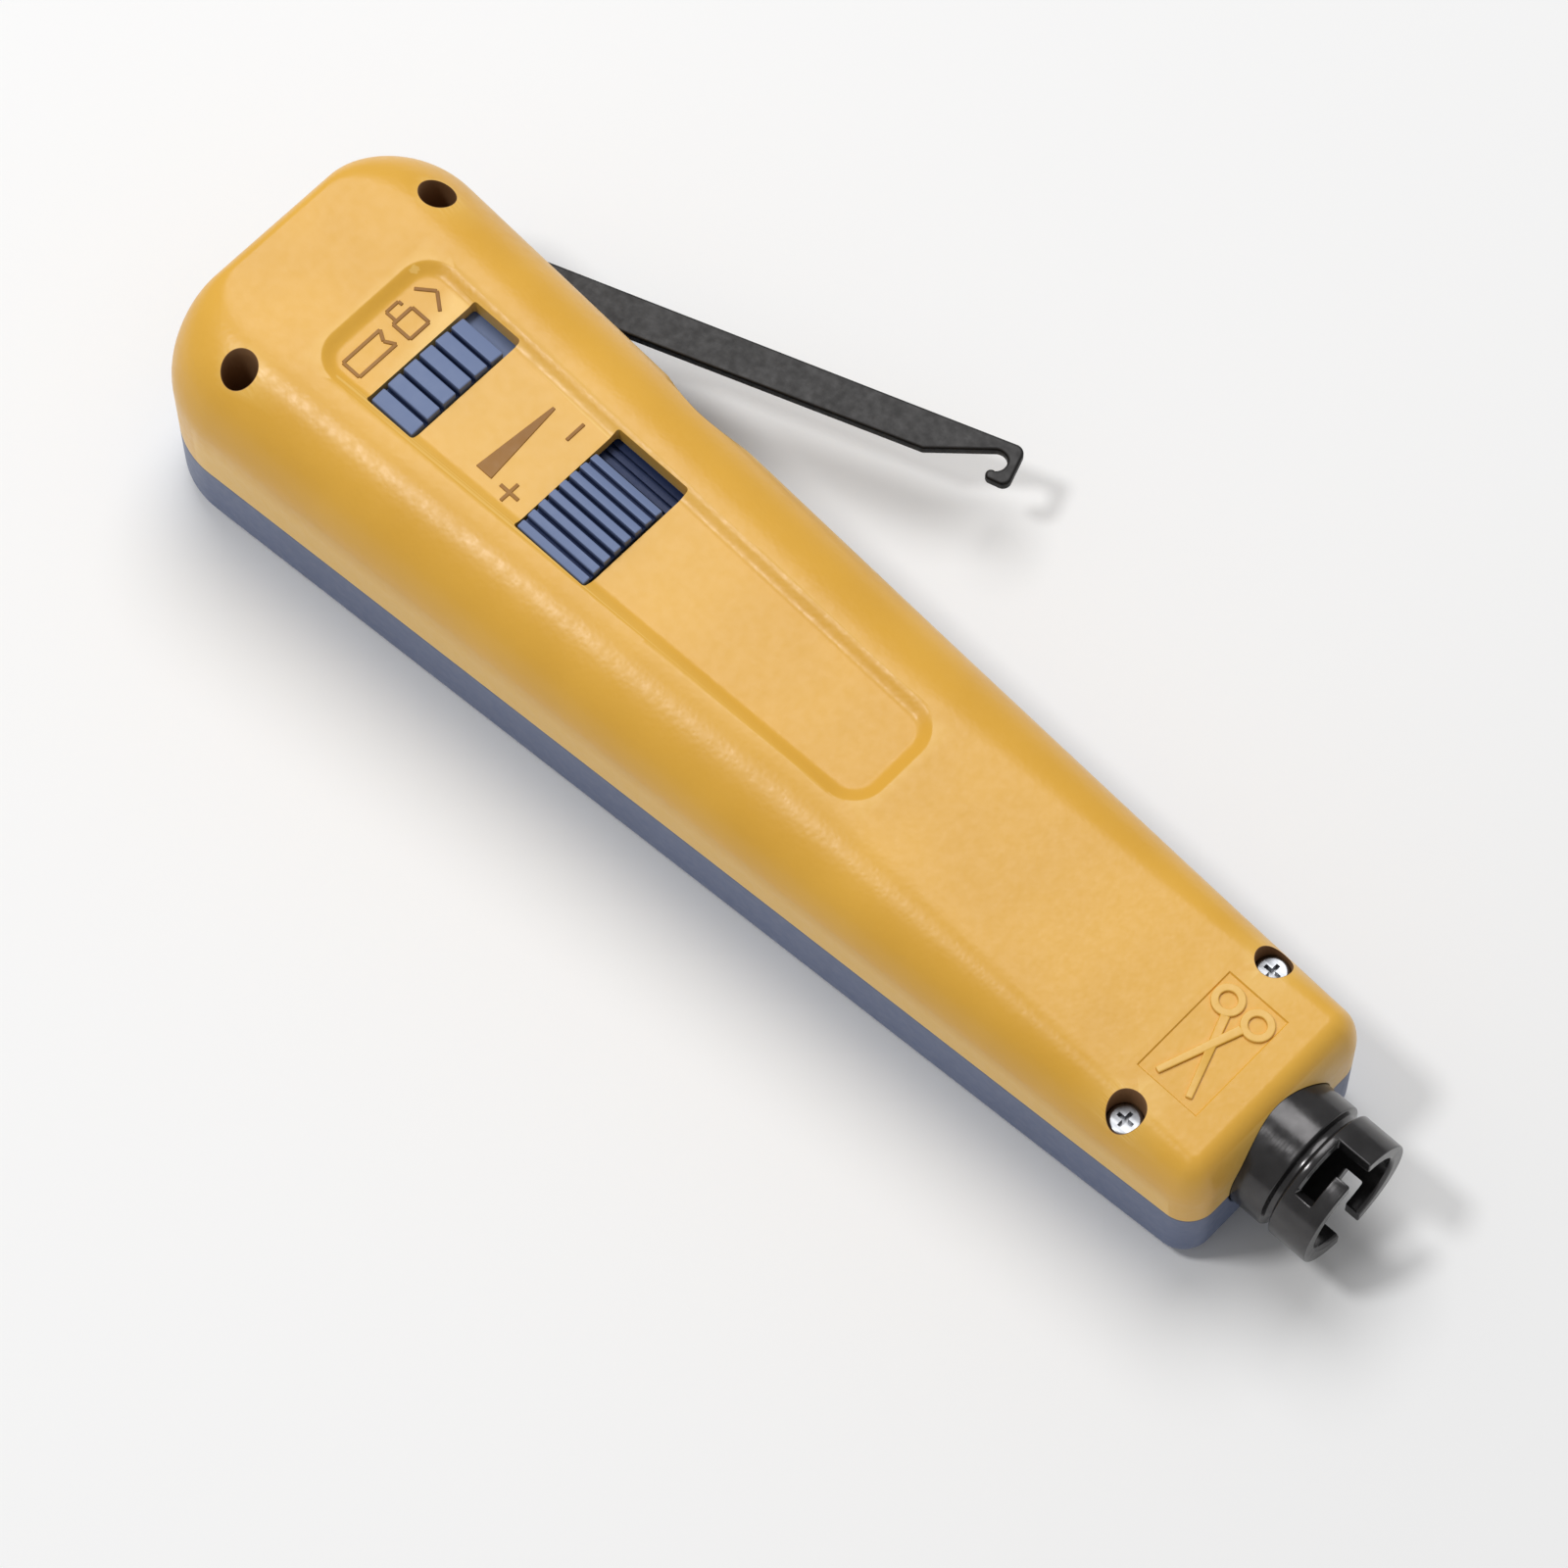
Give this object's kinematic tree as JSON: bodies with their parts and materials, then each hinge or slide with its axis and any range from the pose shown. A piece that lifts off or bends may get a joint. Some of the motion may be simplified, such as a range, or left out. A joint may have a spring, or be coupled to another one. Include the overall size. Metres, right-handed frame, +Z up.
{
  "type": "punch down tool",
  "caption": "Impact punch down tool with a tapered two-shell handle, side hook, sliding level and release buttons, and a bayonet blade socket.",
  "frame": {"origin": "middle of the housing's length, on the flat back face that the tool rests on", "axes": "+X from the butt to the nose, +Y to the side that the hook folds out of, +Z up from the flat back to the button face"},
  "size_m": [0.1528, 0.0614, 0.0275],
  "materials": {
    "housing_yellow": "fine pebbled moulded plastic",
    "housing_slate": "fine pebbled moulded plastic",
    "slide_navy": "smooth moulded plastic",
    "black_plastic": "moulded plastic",
    "black_steel": "satin black oxide steel",
    "bright_steel": "bright zinc-plated steel",
    "spring_steel": "drawn spring wire"
  },
  "bodies": {
    "housing": {"upper_shell": "housing_yellow", "lower_shell": "housing_slate", "case_screw_1": "bright_steel", "case_screw_2": "bright_steel", "case_screw_3": "bright_steel", "case_screw_4": "bright_steel", "release_spring": "spring_steel", "level_leaf": "spring_steel", "slide_tray": "black_plastic", "storage_tube": "black_plastic", "main_spring": "spring_steel", "stem_guide": "black_plastic", "return_spring": "spring_steel", "hook_sleeve": "bright_steel", "hook_washer": "spring_steel"},
    "release": {"release_slide": "slide_navy", "release_catch": "black_plastic"},
    "level": {"level_slide": "slide_navy", "level_cam": "black_plastic"},
    "seat": {"spring_seat": "black_plastic"},
    "striker": {"hammer": "black_steel", "latch_leaf": "spring_steel"},
    "latch": {"latch_plate": "bright_steel"},
    "drive": {"drive_barrel": "black_steel", "drive_stem": "bright_steel", "stem_clip": "spring_steel", "seat_spring": "spring_steel"},
    "blade_rest": {"blade_seat": "bright_steel"},
    "hook": {"wire_hook": "black_steel"}
  },
  "joints": [
    {"name": "socket_push", "type": "slide", "parent": "housing", "child": "drive", "axis": [-1, 0, 0], "range_m": [0, 0.009], "stiffness_N_per_m": 500, "springref_m": -0.004, "deforming": ["return_spring"]},
    {"name": "hammer_back", "type": "slide", "parent": "housing", "child": "striker", "axis": [-1, 0, 0], "range_m": [0, 0.009], "deforming": ["main_spring"]},
    {"name": "latch_lift", "type": "slide", "parent": "striker", "child": "latch", "axis": [0, 0, 1], "range_m": [0, 0.0015], "stiffness_N_per_m": 300, "springref_m": -0.0005, "deforming": ["latch_leaf"]},
    {"name": "level_shift", "type": "slide", "parent": "housing", "child": "level", "axis": [0, 1, 0], "range_m": [0, 0.0033]},
    {"name": "seat_shift", "type": "slide", "parent": "housing", "child": "seat", "axis": [-1, 0, 0], "range_m": [0, 0.0015], "deforming": ["main_spring"]},
    {"name": "release_push", "type": "slide", "parent": "housing", "child": "release", "axis": [0, 1, 0], "range_m": [0, 0.002], "stiffness_N_per_m": 300, "springref_m": -0.0015, "deforming": ["release_spring"]},
    {"name": "blade_press", "type": "slide", "parent": "drive", "child": "blade_rest", "axis": [-1, 0, 0], "range_m": [0, 0.002], "stiffness_N_per_m": 400, "springref_m": -0.001, "deforming": ["seat_spring"]},
    {"name": "hook_swing", "type": "hinge", "parent": "housing", "child": "hook", "pos_m": [-0.0599, 0.0145, 0.0089], "axis": [0, 0, 1], "range_deg": [-24, 54]}
  ],
  "couplings": [
    {"joint": "hammer_back", "follows": "socket_push", "ratio": 1},
    {"joint": "seat_shift", "follows": "level_shift", "ratio": 0.45}
  ]
}
